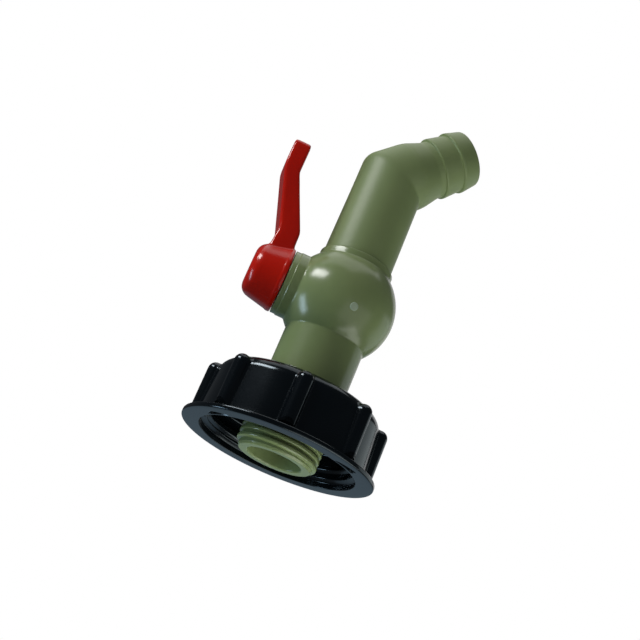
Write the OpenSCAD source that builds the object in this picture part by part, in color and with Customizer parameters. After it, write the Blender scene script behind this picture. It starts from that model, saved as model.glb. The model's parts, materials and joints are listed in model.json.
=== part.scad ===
// Tap adapter for a tank outlet, in millimetres.
// The inlet axis is Z, the outlet leans towards +X and the lever stands on the -X side.
// The origin is the centre of the spigot's open end, on which the part stands.

/* [Spigot and pipe] */
// Outer radius of the spigot's thread
spigot_r = 16.6; // [15:0.1:18]
// Radius at the chamfered end of the spigot
spigot_tip_r = 14.6; // [13.5:0.1:14.9]
// Height of the chamfer at the spigot's end
spigot_chamfer = 1.6; // [0.8:0.1:2.5]
// Length of the threaded spigot
spigot_len = 27; // [25.5:0.5:29]
// Radius of the bore in the spigot
inlet_bore_r = 11; // [9.5:0.1:12]
// Outer radius of the pipe between the cap and the ball housing
pipe_r = 16.3; // [15.5:0.1:17]

/* [Screw cap] */
// Length of spigot that stands out past the cap's rim
spigot_out = 2.6; // [1.5:0.1:4]
// Radius of the cap's flange
flange_r = 39.6; // [38.5:0.1:43]
// Thickness of the cap's flange
flange_t = 2; // [1.5:0.1:3]
// Outer radius of the cap's wall at the flange
wall_r = 34.6; // [33.8:0.1:36]
// Draft of the cap's wall, as the loss of radius over its height
wall_draft = 1; // [0.3:0.1:1.4]
// Height of the cap
cap_h = 26.2; // [24:0.1:30]
// Radius of the rounded shoulder of the cap
shoulder_r = 5.5; // [3:0.1:7]
// Radius of the cap's opening at the rim
mouth_r = 32.3; // [31:0.1:32.8]
// Depth of the plain mouth inside the rim
mouth_depth = 2.4; // [1:0.1:4]
// Height of the sloping step behind the mouth
mouth_step_h = 1; // [0.5:0.1:2]
// Radius at the root of the cap's coarse inner thread
cap_root_r = 30.2; // [29:0.1:30.6]
// Thickness of the cap's end wall
end_wall_t = 4.2; // [3:0.1:5]
// Height of the ring round the spigot inside the cap
cap_boss_h = 2.4; // [1.5:0.1:4]
// Wall of the ring round the spigot inside the cap
cap_boss_wall = 2.6; // [1.5:0.1:4]

/* [Grip ribs] */
// Number of grip ribs
rib_count = 8; // [4:1:12]
// Width of a grip rib
rib_w = 6.4; // [4:0.1:8]
// Outer radius of the grip ribs
rib_out_r = 37.6; // [36.8:0.1:38.3]
// Direction of the first grip rib
rib_from = -96; // [-120:1:-60]
// Distance from the cap's top down to the top of the ribs
rib_drop = 1.7; // [1:0.1:5]

/* [Gasket] */
// Thickness of the cap's gasket
gasket_t = 2.5; // [1.5:0.1:4]
// Width of the cap's gasket
gasket_w = 6.5; // [4:0.1:8]
// Gap between the gasket and the cap's wall
gasket_gap = 1; // [0.5:0.1:2]

/* [Ball housing] */
// Height of the ball's centre above the spigot's end
ball_z = 68; // [66:0.5:74]
// Outer radius of the ball housing
housing_r = 22.9; // [22.4:0.1:26]
// Radius of the blend between pipe and housing
blend_r = 1; // [0.5:0.1:2]
// Outer radius of the boss that takes the spout
boss_r = 15.6; // [15.3:0.1:16.5]
// Height of the boss above the ball's centre
boss_h = 19.6; // [18.5:0.1:22]

/* [Ball and seats] */
// Radius of the ball
ball_r = 13; // [12.5:0.1:13.2]
// Radius of the bore through the ball
ball_bore_r = 8.5; // [7.5:0.1:8.8]
// Running clearance between ball and seats
ball_fit = 0.05; // [0.03:0.01:0.1]
// Gap between the ball and the wall of the housing
cavity_gap = 0.4; // [0.35:0.05:0.8]
// Height of a seat's open face above the ball's centre
seat_face = 8.4; // [8:0.1:9]
// Height of a seat's back face above the ball's centre
seat_back = 13.4; // [13.1:0.1:14]
// Thickness of the rubber cushion behind a seat
cushion_t = 1.8; // [1:0.1:2]
// Clearance round the seats and the spout's plug
seat_fit = 0.1; // [0.05:0.01:0.2]

/* [Stem and neck] */
// Outer radius of the stem's neck
neck_r = 13.6; // [13:0.1:14.5]
// Distance from the ball's centre to the end of the neck
neck_len = 24.3; // [23.9:0.1:27]
// Width of the fine step at the end of the neck
neck_step_w = 2.2; // [1:0.1:4]
// Radius of the stem's shaft
stem_r = 5.5; // [5:0.1:6.5]
// Running clearance round the stem
stem_fit = 0.05; // [0.03:0.01:0.1]
// Radius of the stem's collar
collar_r = 7.8; // [7:0.1:8.2]
// Thickness of the stem's collar
collar_t = 1.8; // [1.2:0.1:2.2]
// Gap round the stem's collar
collar_gap = 0.35; // [0.3:0.05:0.6]
// Gap between the ball and the stem's collar
collar_lift = 0.6; // [0.4:0.1:1]
// Thickness of the slip washer outside the collar
thrust_t = 0.8; // [0.5:0.1:1.2]
// Thickness of the blade that turns the ball
blade_t = 4; // [3:0.1:5]
// Width of the blade that turns the ball
blade_w = 10; // [8:0.1:12]
// Depth of the blade in the ball
blade_in = 3; // [2.5:0.1:3.3]
// Clearance of the blade in the ball's slot
blade_fit = 0.1; // [0.05:0.01:0.2]
// Radius of the rubber rings' round section
ring_r = 0.9; // [0.6:0.05:1]
// Distance between the two rubber rings on the stem
ring_step = 3.2; // [2.8:0.1:3.6]
// Side of the stem's square head
square_w = 7; // [6:0.1:7.4]

/* [Handle] */
// Gap between the neck and the handle's rim
handle_gap = 0.4; // [0.3:0.05:1]
// Radius of the handle's rim
handle_rim_r = 13.5; // [13:0.1:14.5]
// Width of the plain band at the handle's rim
handle_band = 2; // [1:0.1:3]
// Radius of the handle's outer end
handle_end_r = 11.5; // [10.5:0.1:12]
// Length of the handle's cap along its axis
handle_h = 14.5; // [13.5:0.1:16]
// Radius of the large rounding at the outer end
handle_edge_r = 4.8; // [3.5:0.1:5.5]
// Wall thickness of the handle's cap
handle_wall = 2; // [1.6:0.1:2.4]
// Radius of the hub inside the handle's cap
hub_r = 7; // [6.2:0.1:7.6]
// Clearance round the stem's square head
square_fit = 0.1; // [0.05:0.01:0.2]

/* [Lever] */
// Distance from the handle's rim to the lever's inner face
lever_set = 1; // [0.5:0.1:2]
// Depth of the lever's root below the rounded end of the cap
lever_sink = 6; // [5:0.1:7]
// Height of the lever's tip above the ball's centre
lever_reach = 57.6; // [50:0.5:70]
// Distance of the lever's tip from the valve's axis
lever_tip_out = 40; // [38:0.1:44]
// Height of the lever's lower knee above the ball's centre
lever_knee_low = 18.8; // [17:0.1:21]
// Height of the lever's upper knee above the ball's centre
lever_knee_high = 44.4; // [38:0.1:46]
// Thickness of the lever at its root
lever_root_t = 9.6; // [8:0.1:10.4]
// Thickness of the lever at its tip
lever_tip_t = 7.2; // [4:0.1:8]
// Width of the lever at its root
lever_root_w = 15; // [12:0.1:17]
// Width of the lever at its waist
lever_waist_w = 13.4; // [11:0.1:15]
// Width of the lever near its tip
lever_tip_w = 15; // [12:0.1:18]
// Radius of the lever's rounded knees
lever_bend_r = 6; // [3:0.5:12]
// Radius of the rounded corners of the lever's tip
lever_end_r = 1.6; // [0.8:0.1:3]

/* [Handle screw] */
// Radius of the screw's shank
screw_r = 1.5; // [1.2:0.1:2]
// Length of the screw's shank in the stem
screw_len = 7; // [5:0.5:9]
// Radius of the screw's head
screw_head_r = 3; // [2.5:0.1:3.1]
// Height of the screw's head
screw_head_h = 1.3; // [1:0.1:1.8]
// Thickness of the wall that the screw holds
screw_wall = 1; // [0.8:0.1:1.6]
// Thickness of the washer under the head
washer_t = 0.5; // [0.4:0.1:0.8]
// Thickness of the plug over the screw
plug_t = 1.2; // [0.8:0.1:1.4]
// Gap between the screw's head and the plug
plug_gap = 0.3; // [0.2:0.05:0.5]

/* [Spout] */
// Outer radius of the spout's tube at the boss
tube_r = 14.5; // [14.2:0.1:15]
// Outer radius of the spout's tube at the bend
tube_top_r = 14.3; // [13.8:0.1:14.5]
// Height of the bend above the ball's centre
bend_h = 60.4; // [50:0.5:75]
// Angle of the bend
bend_angle = 45; // [30:1:60]
// Radius of the bore in the spout's tube
tube_bore_r = 10.5; // [9.8:0.1:11]

/* [Hose tail] */
// Length of the hose tail's plain part, from the bend point
tail_plain = 6; // [5:0.5:9]
// Outer radius of the tail in front of the first barb
tail_neck_r = 12.3; // [11.5:0.1:12.6]
// Outer radius of the barbs
barb_r = 13.1; // [12.8:0.1:13.8]
// Outer radius at the tail's end
tail_end_r = 11.8; // [11.3:0.1:12.2]
// Distance from the bend point to the first barb
barb_first = 19.8; // [18:0.1:22]
// Distance between the barbs
barb_step = 8.5; // [7:0.1:10]
// Distance from the bend point to the tail's end
tail_len = 36.2; // [35:0.1:42]
// Radius of the bore in the hose tail
outlet_bore_r = 9.5; // [8.5:0.1:10]
// Radius of the rounded edge at the tail's end
tail_edge_r = 1; // [0.5:0.1:1.4]

/* [Hidden] */
$fn = 96;

// Small sizes that many edges, fits and cutters share
edge_cut = 0.4;
fine_cut = 0.3;
boss_cut = 0.5;
loose_fit = 0.3;
overshoot = 1;
square_lift = 0.6;
head_room = 0.6;

// Heights along the inlet axis
rim_z = spigot_out;
cap_top_z = rim_z + cap_h;
end_wall_z = cap_top_z - end_wall_t;
wall_top_r = wall_r - wall_draft;
rib_top_z = cap_top_z - rib_drop - rib_w / 2;
boss_top_z = ball_z + boss_h;
bend_z = ball_z + bend_h;
cavity_r = ball_r + cavity_gap;
cushion_back = seat_back + cushion_t;
plug_r = cavity_r - seat_fit;
plug_z = ball_z + cushion_back;
bend_reach = tube_top_r * tan(bend_angle / 2) + overshoot;

// Distances along the stem, from the ball's centre outwards
blade_tip = ball_r - blade_in;
collar_at = ball_r + collar_lift;
thrust_at = collar_at + collar_t;
shoulder_at = thrust_at + thrust_t;
rings_at = (shoulder_at + neck_len) / 2;
ring_inner_at = rings_at - ring_step / 2;
ring_outer_at = rings_at + ring_step / 2;
handle_at = neck_len + handle_gap;
square_at = handle_at + square_lift;
handle_end = handle_at + handle_h;
plug_at = handle_end - plug_t;
screw_head_at = plug_at - plug_gap - screw_head_h;
washer_at = screw_head_at - washer_t;
screw_seat = washer_at - screw_wall;
stem_end = screw_seat - square_fit;
counterbore_r = screw_head_r + head_room;
lever_root_h = handle_end_r - lever_sink;

// Shapes shared by several parts

// Places its children along the stem: their +Z points away from the valve.
module on_stem() {
  translate([0, 0, ball_z])
    rotate([0, -90, 0])
      children();
}

// Places its children along the outlet: their +Z points out of the hose tail.
module on_outlet() {
  translate([0, 0, bend_z])
    rotate([0, bend_angle, 0])
      children();
}

// Points of an arc about a centre
function arc(x, y, r, a0, a1, steps) =
  [for (i = [0:steps]) let (a = a0 + (a1 - a0) * i / steps) [x + r * cos(a), y + r * sin(a)]];

// Points of a cubic curve with four control points, without its first point
function curve(p, steps) =
  [for (i = [1:steps]) let (t = i / steps, s = 1 - t)
    s * s * s * p[0] + 3 * s * s * t * p[1] + 3 * s * t * t * p[2] + t * t * t * p[3]];

// A corner of a line, swapped for an arc: a, b and c are points, and r is the radius at b
function corner(a, b, c, r, steps) =
  let (u = (a - b) / norm(a - b), v = (c - b) / norm(c - b),
    half = acos(u * v) / 2, reach = r / tan(half),
    centre = b + (u + v) / norm(u + v) * r / sin(half),
    first = b + u * reach - centre, last = b + v * reach - centre,
    from = atan2(first[1], first[0]), turn = (atan2(last[1], last[0]) - from + 540) % 360 - 180)
  arc(centre[0], centre[1], r, from, from + turn, steps);

// A closed line with rounded corners: each point is x, y and the radius there
function rounded(p, steps) =
  let (n = len(p), at = function(i) [p[(i + n) % n][0], p[(i + n) % n][1]])
  [for (i = [0:n - 1]) each
    (p[i][2] > 0 ? corner(at(i - 1), at(i), at(i + 1), p[i][2], steps) : [at(i)])];

// A round ring between two radii and two heights
module ring(r_out, r_in, z0, z1) {
  rotate_extrude()
    translate([r_in, z0])
      square([r_out - r_in, z1 - z0]);
}

// The hollow blend between a tube and the round housing, above the housing's centre
module housing_blend(r) {
  reach = housing_r + blend_r;
  side = r + blend_r;
  rise = sqrt(reach * reach - side * side);
  lean = atan2(rise, side);
  foot = housing_r - overshoot;
  rotate_extrude()
    polygon(concat(
      [[r - overshoot, rise]],
      arc(side, rise, blend_r, 180, 180 + lean, 8),
      [[foot * cos(lean), foot * sin(lean)], [r - overshoot, foot * sin(lean)]]
    ));
}

// Screw cap

// Section of the cap's turned form
module cap_section() {
  shoulder_x = wall_top_r - shoulder_r;
  shoulder_z = cap_top_z - shoulder_r;
  polygon(concat(
    [[mouth_r, rim_z], [flange_r - edge_cut, rim_z], [flange_r, rim_z + edge_cut]],
    [[flange_r, rim_z + flange_t - edge_cut], [flange_r - edge_cut, rim_z + flange_t]],
    [[wall_r, rim_z + flange_t]],
    arc(shoulder_x, shoulder_z, shoulder_r, 0, 90, 10),
    [[spigot_r + seat_fit, cap_top_z], [spigot_r + seat_fit, end_wall_z - cap_boss_h]],
    [[spigot_r + cap_boss_wall, end_wall_z - cap_boss_h]],
    [[spigot_r + cap_boss_wall, end_wall_z], [cap_root_r - 2 * edge_cut, end_wall_z]],
    [[cap_root_r, end_wall_z - 2 * edge_cut], [cap_root_r, rim_z + mouth_depth + mouth_step_h]],
    [[mouth_r, rim_z + mouth_depth]]
  ));
}

// One grip rib, with a round face and a domed top
module grip_rib() {
  rib_r = rib_w / 2;
  rib_x = rib_out_r - rib_r;
  inner_x = wall_top_r - shoulder_r;
  translate([rib_x, 0, rim_z + flange_t / 2])
    cylinder(h = rib_top_z - rim_z - flange_t / 2, r = rib_r, $fn = 48);
  translate([rib_x, 0, rib_top_z])
    sphere(r = rib_r, $fn = 48);
  translate([inner_x, -rib_r, rim_z + flange_t / 2])
    cube([rib_x - inner_x, rib_w, rib_top_z - rim_z - flange_t / 2]);
  translate([inner_x, 0, rib_top_z])
    rotate([0, 90, 0])
      cylinder(h = rib_x - inner_x, r = rib_r, $fn = 48);
}

module cap_nut() {
  color([0.02, 0.025, 0.03]) {
    rotate_extrude()
      cap_section();
    difference() {
      for (i = [0:rib_count - 1])
        rotate([0, 0, rib_from + i * 360 / rib_count])
          grip_rib();
      translate([0, 0, rim_z])
        cylinder(h = end_wall_z - rim_z, r = mouth_r + boss_cut);
    }
  }
}

module cap_gasket() {
  gasket_out = cap_root_r - gasket_gap;
  color([0.08, 0.08, 0.08])
    ring(gasket_out, gasket_out - gasket_w, end_wall_z - gasket_t, end_wall_z);
}

// Valve body

// Spigot, pipe and spout boss as one turned form, without the housing
module body_tubes() {
  rotate_extrude()
    polygon([
      [0, 0], [spigot_tip_r, 0], [spigot_r, spigot_chamfer], [spigot_r, spigot_len],
      [pipe_r, spigot_len + fine_cut], [pipe_r, ball_z], [boss_r, ball_z],
      [boss_r, boss_top_z - boss_cut], [boss_r - boss_cut, boss_top_z], [0, boss_top_z]
    ]);
}

// The neck that carries the stem, with a fine step at its end
module stem_neck() {
  on_stem()
    rotate_extrude()
      polygon([
        [0, 0], [neck_r, 0], [neck_r, neck_len - neck_step_w],
        [neck_r - fine_cut, neck_len - neck_step_w], [neck_r - fine_cut, neck_len - edge_cut],
        [neck_r - fine_cut - edge_cut, neck_len], [0, neck_len]
      ]);
}

// The round housing, kept clear of the handle where the neck is short
module ball_housing() {
  difference() {
    translate([0, 0, ball_z])
      sphere(r = housing_r);
    on_stem()
      translate([0, 0, neck_len])
        cylinder(h = housing_r, r = housing_r);
  }
}

// The room for the waterway, the ball and the seats
module body_bore() {
  rotate_extrude()
    polygon([
      [0, -overshoot], [inlet_bore_r, -overshoot], [inlet_bore_r, ball_z - cushion_back],
      [cavity_r, ball_z - cushion_back], [cavity_r, ball_z + housing_r + overshoot],
      [0, ball_z + housing_r + overshoot]
    ]);
}

// The stepped hole for the stem
module stem_bore() {
  collar_room = collar_r + collar_gap;
  on_stem() {
    translate([0, 0, ball_r / 2])
      cylinder(h = shoulder_at - ball_r / 2, r = collar_room);
    cylinder(h = neck_len + overshoot, r = stem_r + stem_fit);
  }
}

module valve_body() {
  color([0.36, 0.42, 0.27])
    difference() {
      union() {
        body_tubes();
        stem_neck();
        ball_housing();
        translate([0, 0, ball_z]) {
          housing_blend(boss_r);
          mirror([0, 0, 1])
            housing_blend(pipe_r);
        }
        on_stem()
          housing_blend(neck_r);
      }
      body_bore();
      stem_bore();
    }
}

// Ball, seats and cushions

module ball() {
  slot_w = blade_t + 2 * blade_fit;
  color([0.85, 0.85, 0.82])
    difference() {
      translate([0, 0, ball_z])
        sphere(r = ball_r);
      translate([0, 0, ball_z - ball_r - overshoot])
        cylinder(h = 2 * (ball_r + overshoot), r = ball_bore_r);
      translate([-ball_r - overshoot, -ball_r, ball_z - slot_w / 2])
        cube([ball_r + overshoot - blade_tip + blade_fit, 2 * ball_r, slot_w]);
    }
}

// A seat above the ball's centre, hollowed to the ball
module seat() {
  color([0.93, 0.93, 0.9])
    difference() {
      ring(plug_r, ball_bore_r, seat_face, seat_back);
      sphere(r = ball_r + ball_fit);
    }
}

module seat_inlet() {
  translate([0, 0, ball_z])
    mirror([0, 0, 1])
      seat();
}

module seat_outlet() {
  translate([0, 0, ball_z])
    seat();
}

module seat_cushion_inlet() {
  color([0.06, 0.06, 0.06])
    ring(plug_r, inlet_bore_r, ball_z - cushion_back, ball_z - seat_back);
}

module seat_cushion_outlet() {
  color([0.06, 0.06, 0.06])
    ring(plug_r, tube_bore_r, ball_z + seat_back, ball_z + cushion_back);
}

// Stem

// A rubber ring's section, centred in its groove
module stem_ring(at) {
  color([0.06, 0.06, 0.06])
    on_stem()
      translate([0, 0, at])
        rotate_extrude()
          translate([stem_r - ring_r, 0])
            circle(r = ring_r, $fn = 32);
}

module stem_ring_inner() {
  stem_ring(ring_inner_at);
}

module stem_ring_outer() {
  stem_ring(ring_outer_at);
}

// The groove for a rubber ring
module ring_groove(at) {
  half_w = ring_r + 2 * stem_fit;
  ring(stem_r + overshoot, stem_r - 2 * ring_r - stem_fit, at - half_w, at + half_w);
}

module stem() {
  color([0.8, 0.8, 0.76])
    on_stem()
      difference() {
        union() {
          translate([-blade_t / 2, -blade_w / 2, blade_tip])
            cube([blade_t, blade_w, collar_at - blade_tip]);
          translate([0, 0, collar_at])
            cylinder(h = collar_t, r = collar_r);
          translate([0, 0, thrust_at])
            cylinder(h = square_at - thrust_at, r = stem_r);
          translate([-square_w / 2, -square_w / 2, square_at])
            cube([square_w, square_w, stem_end - square_at]);
        }
        ring_groove(ring_inner_at);
        ring_groove(ring_outer_at);
        translate([0, 0, screw_seat - screw_len - overshoot])
          cylinder(h = screw_len + 3 * overshoot, r = screw_r + stem_fit);
      }
}

module thrust_washer() {
  color([0.93, 0.93, 0.9])
    on_stem()
      ring(collar_r, stem_r + 2 * stem_fit, thrust_at, shoulder_at);
}

// Handle

// Section of the handle's cap, closed at its outer end
module handle_section() {
  lean = atan2(handle_rim_r - handle_end_r, handle_h - handle_band);
  edge_x = handle_end_r - handle_edge_r;
  edge_z = handle_end - handle_edge_r;
  polygon(concat(
    [[0, handle_at], [handle_rim_r - fine_cut, handle_at], [handle_rim_r, handle_at + fine_cut]],
    [[handle_rim_r, handle_at + handle_band - fine_cut]],
    [[handle_rim_r - fine_cut, handle_at + handle_band]],
    arc(edge_x, edge_z, handle_edge_r, lean, 90, 8),
    [[0, handle_end]]
  ));
}

// Section of the room between the handle's wall and its hub
module handle_room_section() {
  rim_x = handle_rim_r - handle_wall;
  end_x = handle_end_r - handle_wall;
  end_z = handle_end - handle_edge_r;
  polygon([
    [hub_r, handle_at - overshoot], [rim_x, handle_at - overshoot], [rim_x, handle_at + handle_band],
    [end_x, end_z], [hub_r, end_z + (end_x - hub_r) / 2]
  ]);
}

// The lever's outline from the side: x is its distance from the valve, y its height
module lever_side() {
  root_in = handle_at + lever_set;
  root_out = root_in + lever_root_t;
  tip_in = lever_tip_out - lever_tip_t / 2;
  tip_out = lever_tip_out + lever_tip_t / 2;
  root_flare = 0.6;
  root_slant = 0.4;
  knee_slant = 0.7;
  polygon(rounded([
    [root_out + root_flare, lever_root_h, 0],
    [root_out - root_slant, lever_knee_low - knee_slant, lever_bend_r],
    [tip_out, lever_knee_high + knee_slant, 2 * lever_bend_r], [tip_out, lever_reach, lever_end_r],
    [tip_in, lever_reach, lever_end_r], [tip_in, lever_knee_high - knee_slant, lever_bend_r / 2],
    [root_in + root_slant, lever_knee_low + knee_slant, lever_bend_r], [root_in, lever_root_h, 0]
  ], 6));
}

// Half of the lever's outline from the front: x is half the width, y the height
function lever_half() =
  let (waist_h = lever_reach / 2, round_r = lever_tip_w / 2,
    wide_h = lever_reach - round_r, ease_low = 10, ease_high = 8)
  concat(
    [[lever_root_w / 2, lever_root_h]],
    curve([[lever_root_w / 2, lever_root_h], [lever_root_w / 2, lever_root_h + ease_low],
      [lever_waist_w / 2, waist_h - ease_low], [lever_waist_w / 2, waist_h]], 6),
    curve([[lever_waist_w / 2, waist_h], [lever_waist_w / 2, waist_h + ease_high],
      [round_r, wide_h - ease_high], [round_r, wide_h]], 6),
    arc(0, wide_h, round_r, 10, 90, 9)
  );

module lever_front() {
  half = lever_half();
  flipped = [for (i = [len(half) - 1:-1:0]) [-half[i][0], half[i][1]]];
  polygon(concat(half, flipped));
}

// The lever, as the common part of its side and front outlines
module lever() {
  translate([0, 0, ball_z])
    intersection() {
      rotate([90, 0, 0])
        mirror([1, 0, 0])
          translate([0, 0, -lever_tip_w])
            linear_extrude(2 * lever_tip_w)
              lever_side();
      rotate([90, 0, -90])
        linear_extrude(lever_tip_out + 2 * lever_tip_t)
          lever_front();
    }
}

// The room inside the handle: neck side, stem's square and screw
module handle_room() {
  socket_w = square_w + 2 * square_fit;
  on_stem() {
    rotate_extrude()
      handle_room_section();
    translate([-socket_w / 2, -socket_w / 2, handle_at - overshoot])
      cube([socket_w, socket_w, screw_seat - handle_at + overshoot]);
    cylinder(h = square_at, r = stem_r + loose_fit);
    cylinder(h = handle_end, r = screw_r + loose_fit);
    translate([0, 0, washer_at])
      cylinder(h = handle_h, r = counterbore_r);
  }
}

module handle() {
  color([0.75, 0.09, 0.05])
    difference() {
      union() {
        on_stem()
          rotate_extrude()
            handle_section();
        lever();
      }
      handle_room();
    }
}

// Screw, washer and plug

module handle_screw() {
  slot_w = 0.9;
  slot_len = 3.6;
  slot_z = screw_head_at + screw_head_h - slot_w;
  color([0.7, 0.71, 0.73])
    on_stem()
      difference() {
        union() {
          translate([0, 0, screw_seat - screw_len])
            cylinder(h = screw_len + screw_head_at - screw_seat, r = screw_r);
          translate([0, 0, screw_head_at])
            cylinder(h = screw_head_h, r = screw_head_r);
        }
        for (a = [0, 90])
          rotate([0, 0, a])
            translate([-slot_w / 2, -slot_len / 2, slot_z])
              cube([slot_w, slot_len, slot_w + overshoot]);
      }
}

module handle_washer() {
  color([0.7, 0.71, 0.73])
    on_stem()
      ring(screw_head_r + edge_cut, screw_r + 2 * stem_fit, washer_at, screw_head_at);
}

module handle_plug() {
  color([0.75, 0.09, 0.05])
    on_stem()
      translate([0, 0, plug_at])
        cylinder(h = plug_t, r = counterbore_r - seat_fit / 2);
}

// Spout

// Keeps the part of its children on one side of the plane that halves the bend
module mitred(past_bend) {
  far = 4 * tail_len;
  intersection() {
    children();
    translate([0, 0, bend_z])
      rotate([0, bend_angle / 2, 0])
        translate([-far / 2, -far / 2, past_bend ? 0 : -far])
          cube(far);
  }
}

// The outside of the spout's straight tube, with the plug that sits in the body
module tube_outside() {
  rotate_extrude()
    polygon([
      [0, plug_z], [plug_r, plug_z], [plug_r, boss_top_z], [tube_r, boss_top_z],
      [tube_top_r, bend_z - bend_reach], [tube_top_r, bend_z + bend_reach], [0, bend_z + bend_reach]
    ]);
}

// The outside of the hose tail, with two barbs that taper to the end
module tail_outside() {
  barb_second = barb_first + barb_step;
  barb_rise = 0.4;
  barb_land = 1;
  neck_run = 2;
  ease_run = 3;
  rotate_extrude()
    polygon(concat(
      [[0, -bend_reach], [tube_top_r, -bend_reach], [tube_top_r, tail_plain]],
      [[tube_top_r - fine_cut, tail_plain + ease_run]],
      [[tail_neck_r, barb_first - barb_rise - neck_run], [tail_neck_r, barb_first - barb_rise]],
      [[barb_r, barb_first], [barb_r, barb_first + barb_land]],
      [[tail_neck_r, barb_second - barb_rise], [barb_r, barb_second]],
      [[barb_r, barb_second + barb_land]],
      arc(tail_end_r - tail_edge_r, tail_len - tail_edge_r, tail_edge_r, 0, 90, 6),
      [[0, tail_len]]
    ));
}

module outlet_spout() {
  bore_meet = tube_bore_r * tan(bend_angle / 2);
  color([0.36, 0.42, 0.27])
    difference() {
      union() {
        mitred(false)
          tube_outside();
        mitred(true)
          on_outlet()
            tail_outside();
      }
      translate([0, 0, plug_z - overshoot])
        cylinder(h = bend_z + bore_meet - plug_z + overshoot, r = tube_bore_r);
      on_outlet()
        translate([0, 0, -bore_meet])
          cylinder(h = tail_len + 2 * bore_meet, r = outlet_bore_r);
    }
}

cap_nut();
cap_gasket();
valve_body();
outlet_spout();
ball();
seat_inlet();
seat_outlet();
seat_cushion_inlet();
seat_cushion_outlet();
stem();
thrust_washer();
stem_ring_inner();
stem_ring_outer();
handle();
handle_screw();
handle_washer();
handle_plug();
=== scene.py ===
# %% [markdown]
# A tap adapter for a water tank: a black screw cap with grip ribs, an olive ball valve, a bent spout
# with a barbed hose tail, and a red quarter-turn lever. Every part is moulded plastic, so the lesson
# is about smooth turned forms, soft edges and gloss.
# %% Load the measured model
import json
import math

import bmesh
import bpy
import numpy as np
from mathutils import Matrix, Vector

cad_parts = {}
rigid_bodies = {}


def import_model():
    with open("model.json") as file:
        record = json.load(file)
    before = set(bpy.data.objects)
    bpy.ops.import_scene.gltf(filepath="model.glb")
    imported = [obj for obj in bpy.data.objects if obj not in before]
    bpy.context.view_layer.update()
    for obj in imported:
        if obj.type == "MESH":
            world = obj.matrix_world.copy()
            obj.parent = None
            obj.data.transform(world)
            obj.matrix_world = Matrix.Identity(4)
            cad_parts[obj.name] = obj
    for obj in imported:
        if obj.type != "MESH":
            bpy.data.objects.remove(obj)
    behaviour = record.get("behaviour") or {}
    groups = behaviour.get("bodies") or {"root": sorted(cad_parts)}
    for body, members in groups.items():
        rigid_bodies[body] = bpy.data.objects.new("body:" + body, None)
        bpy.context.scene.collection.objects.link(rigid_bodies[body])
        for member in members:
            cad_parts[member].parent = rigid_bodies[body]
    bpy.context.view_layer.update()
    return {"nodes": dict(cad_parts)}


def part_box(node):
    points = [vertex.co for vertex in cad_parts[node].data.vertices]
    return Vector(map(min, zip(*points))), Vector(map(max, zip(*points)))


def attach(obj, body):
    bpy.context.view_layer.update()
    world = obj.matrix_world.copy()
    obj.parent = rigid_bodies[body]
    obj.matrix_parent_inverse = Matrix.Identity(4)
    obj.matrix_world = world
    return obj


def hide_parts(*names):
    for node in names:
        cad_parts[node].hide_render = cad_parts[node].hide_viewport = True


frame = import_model()
MM = 0.001

# %% [markdown]
# The real sizes come from the measured model. Its boxes give the heights and the radii that matter,
# so a piece made here lands on the right place without any fitting.
# %% Read the driving sizes
cap_low, cap_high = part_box("cap_nut")
body_low, body_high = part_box("valve_body")
ball_low, ball_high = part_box("ball")
gasket_low, gasket_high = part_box("cap_gasket")
spout_low, spout_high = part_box("outlet_spout")
handle_low, handle_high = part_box("handle")
RIM_Z = cap_low.z
CAP_TOP = cap_high.z
FLANGE_R = cap_high.x
HOUSING_R = body_high.x
BOSS_TOP = body_high.z
NECK_END = -body_low.x
BALL_Z = (ball_low.z + ball_high.z) / 2
print("rim %.4f, cap top %.4f, flange radius %.4f" % (RIM_Z, CAP_TOP, FLANGE_R))
print("ball centre %.4f, housing radius %.4f, boss top %.4f" % (BALL_Z, HOUSING_R, BOSS_TOP))

# %% [markdown]
# Moulded plastic has no sharp corners. Every outline below is a list of corners with a radius each,
# and this helper swaps each corner for a short arc. The arcs catch the light as real edges do.
# %% Outline helpers
def rounded(corners, steps=5, closed=True):
    """Corners are (x, y, radius) in millimetres; the result is a list of points in metres."""
    points = []
    count = len(corners)
    for i, (x, y, radius) in enumerate(corners):
        here = Vector((x, y))
        end_point = not closed and i in (0, count - 1)
        if radius <= 0 or end_point:
            points.append(here)
            continue
        before = Vector(corners[i - 1][:2]) - here
        after = Vector(corners[(i + 1) % count][:2]) - here
        angle = before.angle(after)
        if angle > math.radians(178):
            points.append(here)
            continue
        reach = min(radius / math.tan(angle / 2), 0.49 * before.length, 0.49 * after.length)
        true_r = reach * math.tan(angle / 2)
        centre = here + (before.normalized() + after.normalized()).normalized() * (
            true_r / math.sin(angle / 2))
        first = here + before.normalized() * reach - centre
        last = here + after.normalized() * reach - centre
        sweep = first.angle_signed(last)
        for k in range(steps + 1):
            points.append(centre + Matrix.Rotation(-sweep * k / steps, 2) @ first)
    return [(p.x * MM, p.y * MM) for p in points]


def smooth_step(t):
    t = np.clip(t, 0.0, 1.0)
    return t * t * (3 - 2 * t)

# %% [markdown]
# A turned form is a grid: each row is one point of the outline, each column one direction round the
# axis. A helper turns a grid of places into a clean mesh and marks only the really sharp edges.
# %% Mesh helpers
def add_object(name, mesh, material):
    obj = bpy.data.objects.new(name, mesh)
    bpy.context.scene.collection.objects.link(obj)
    obj.data.materials.clear()
    obj.data.materials.append(material)
    return obj


def finish_mesh(mesh, sharp_angle=40):
    shape = bmesh.new()
    shape.from_mesh(mesh)
    bmesh.ops.remove_doubles(shape, verts=shape.verts, dist=1e-7)
    bmesh.ops.dissolve_degenerate(shape, edges=shape.edges, dist=1e-8)
    bmesh.ops.recalc_face_normals(shape, faces=shape.faces)
    shape.to_mesh(mesh)
    shape.free()
    mesh.shade_smooth()
    mesh.set_sharp_from_angle(angle=math.radians(sharp_angle))
    return mesh


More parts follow.
